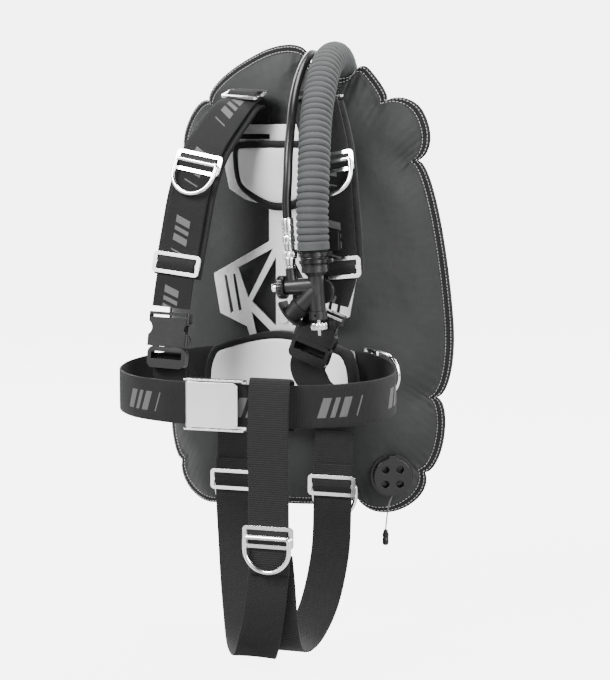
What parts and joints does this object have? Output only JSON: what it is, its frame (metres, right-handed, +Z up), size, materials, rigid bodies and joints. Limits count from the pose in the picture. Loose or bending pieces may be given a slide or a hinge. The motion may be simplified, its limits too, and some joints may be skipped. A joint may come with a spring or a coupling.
{
  "type": "buoyancy compensator vest",
  "caption": "Back-mounted buoyancy vest: metal backplate, curved air wing, webbing harness, corrugated-hose inflator and bottom dump valve.",
  "frame": {"origin": "the middle of the two cylinder bolt holes, on the back face of the backplate", "axes": "+X is the wearer's left, +Y points back to the cylinder, +Z is up along the spine"},
  "size_m": [0.3886, 0.3186, 0.7418],
  "materials": {
    "polished_metal": "polished, faintly brushed",
    "chrome_fitting": "bright plating",
    "spring_steel": "bare wire",
    "wing_fabric": "coated weave, slight sheen",
    "bladder_film": "smooth film",
    "webbing": "ribbed webbing",
    "pad_fabric": "padded fabric",
    "white_panel": "smooth coated panel",
    "hose_rubber": "satin rubber",
    "grey_plastic": "satin moulding",
    "black_plastic": "glossy moulding",
    "cord_grey": "thin braid"
  },
  "bodies": {
    "harness": {"backplate": "polished_metal", "upper_pad": "pad_fabric", "upper_pad_panel": "white_panel", "lower_pad": "pad_fabric", "lower_pad_panel": "white_panel", "wing_shell": "wing_fabric", "inner_bladder": "bladder_film", "wing_edge_binding": "wing_fabric", "wing_grommets": "polished_metal", "wing_screws": "polished_metal", "hose_elbow": "black_plastic", "hose_ties_upper": "black_plastic", "corrugated_hose": "hose_rubber", "lp_hose": "hose_rubber", "lp_hose_end": "chrome_fitting", "right_shoulder_pad": "pad_fabric", "left_shoulder_pad": "pad_fabric", "right_shoulder_webbing": "webbing", "left_shoulder_webbing": "webbing", "tri_glides": "polished_metal", "right_buckle_female": "black_plastic", "left_buckle_female": "black_plastic", "lower_webbing": "webbing", "right_waist_belt": "webbing", "left_waist_belt": "webbing", "waist_buckle_frame": "polished_metal", "waist_buckle_pin": "polished_metal", "crotch_front_strap": "webbing", "crotch_rear_strap_right": "webbing", "crotch_rear_strap_left": "webbing", "hose_keeper": "hose_rubber", "dump_valve_body": "black_plastic", "dump_valve_cover": "black_plastic"},
    "inflator": {"inflator_body": "grey_plastic", "hose_cuff": "hose_rubber", "hose_ties_lower": "black_plastic", "lp_inlet_nipple": "chrome_fitting", "inflate_end_cap": "black_plastic", "inflate_valve_core": "hose_rubber", "inflate_spring": "spring_steel", "deflate_collar": "grey_plastic", "deflate_spring": "spring_steel", "mouthpiece": "hose_rubber", "exhaust_cover": "grey_plastic", "lp_coupling": "chrome_fitting"},
    "inflate_press": {"inflate_button": "chrome_fitting"},
    "deflate_press": {"deflate_button": "chrome_fitting"},
    "coupling_collar": {"lp_collar": "chrome_fitting"},
    "right_shoulder_ring": {"right_shoulder_d_ring": "polished_metal"},
    "left_shoulder_ring": {"left_shoulder_d_ring": "polished_metal"},
    "waist_ring": {"waist_d_ring": "polished_metal"},
    "crotch_ring": {"crotch_d_ring": "polished_metal"},
    "right_butt_ring": {"right_butt_d_ring": "polished_metal"},
    "left_butt_ring": {"left_butt_d_ring": "polished_metal"},
    "buckle_lever": {"waist_buckle_lever": "polished_metal"},
    "right_plug": {"right_buckle_male": "black_plastic"},
    "left_plug": {"left_buckle_male": "black_plastic"},
    "dump_pull": {"dump_cord": "cord_grey", "dump_toggle": "black_plastic"},
    "dump_seat": {"dump_poppet": "hose_rubber"}
  },
  "joints": [
    {"name": "inflator_swing", "type": "hinge", "parent": "harness", "child": "inflator", "pos_m": [0.06, 0.02, 0.25], "axis": [-1, 0, 0], "range_deg": [0, 45], "deforming": ["corrugated_hose", "lp_hose"]},
    {"name": "inflate_button_press", "type": "slide", "parent": "inflator", "child": "inflate_press", "axis": [0.9972, 0, 0.0748], "range_m": [0, 0.004], "stiffness_N_per_m": 900, "deforming": ["inflate_spring"]},
    {"name": "deflate_button_press", "type": "slide", "parent": "inflator", "child": "deflate_press", "axis": [-0.0748, 0, 0.9972], "range_m": [0, 0.0035], "stiffness_N_per_m": 900, "deforming": ["deflate_spring"]},
    {"name": "coupling_collar_slide", "type": "slide", "parent": "inflator", "child": "coupling_collar", "axis": [-0.0748, 0, 0.9972], "range_m": [0, 0.004], "stiffness_N_per_m": 900},
    {"name": "right_shoulder_ring_swing", "type": "hinge", "parent": "harness", "child": "right_shoulder_ring", "pos_m": [-0.08403, -0.08244, 0.13569], "axis": [-0.9799, 0.0769, 0.1843], "range_deg": [0, 120]},
    {"name": "left_shoulder_ring_swing", "type": "hinge", "parent": "harness", "child": "left_shoulder_ring", "pos_m": [0.08403, -0.08245, 0.13566], "axis": [-0.9799, -0.0765, -0.1845], "range_deg": [0, 6]},
    {"name": "waist_ring_swing", "type": "hinge", "parent": "harness", "child": "waist_ring", "pos_m": [0.11441, 0.00185, -0.12499], "axis": [0.0662, -0.0376, 0.9971], "range_deg": [-8, 45]},
    {"name": "crotch_ring_swing", "type": "hinge", "parent": "harness", "child": "crotch_ring", "pos_m": [0.057, -0.21968, -0.29397], "axis": [-1, 0, 0], "range_deg": [0, 120]},
    {"name": "right_butt_ring_swing", "type": "hinge", "parent": "harness", "child": "right_butt_ring", "pos_m": [-0.063, -0.00608, -0.26647], "axis": [1, 0.0023, 0], "range_deg": [0, 25]},
    {"name": "left_butt_ring_swing", "type": "hinge", "parent": "harness", "child": "left_butt_ring", "pos_m": [0.068, -0.00608, -0.26647], "axis": [1, 0, 0], "range_deg": [0, 25]},
    {"name": "buckle_lever_open", "type": "hinge", "parent": "harness", "child": "buckle_lever", "pos_m": [-0.042, -0.2125, -0.143], "axis": [0, 0, -1], "range_deg": [0, 150]},
    {"name": "right_plug_release", "type": "slide", "parent": "harness", "child": "right_plug", "axis": [-0.04, -0.1399, -0.9894], "range_m": [0, 0.034], "deforming": ["lower_webbing"]},
    {"name": "left_plug_release", "type": "slide", "parent": "harness", "child": "left_plug", "axis": [-0.3401, -0.02, -0.9402], "range_m": [0, 0.034], "deforming": ["lower_webbing"]},
    {"name": "dump_cord_pull", "type": "slide", "parent": "harness", "child": "dump_pull", "axis": [0, 0, -1], "range_m": [0, 0.01], "stiffness_N_per_m": 120},
    {"name": "dump_poppet_lift", "type": "slide", "parent": "harness", "child": "dump_seat", "axis": [0.3939, -0.9191, 0], "range_m": [0, 0.003], "stiffness_N_per_m": 120}
  ],
  "couplings": [
    {"joint": "dump_poppet_lift", "follows": "dump_cord_pull", "ratio": 0.3}
  ]
}
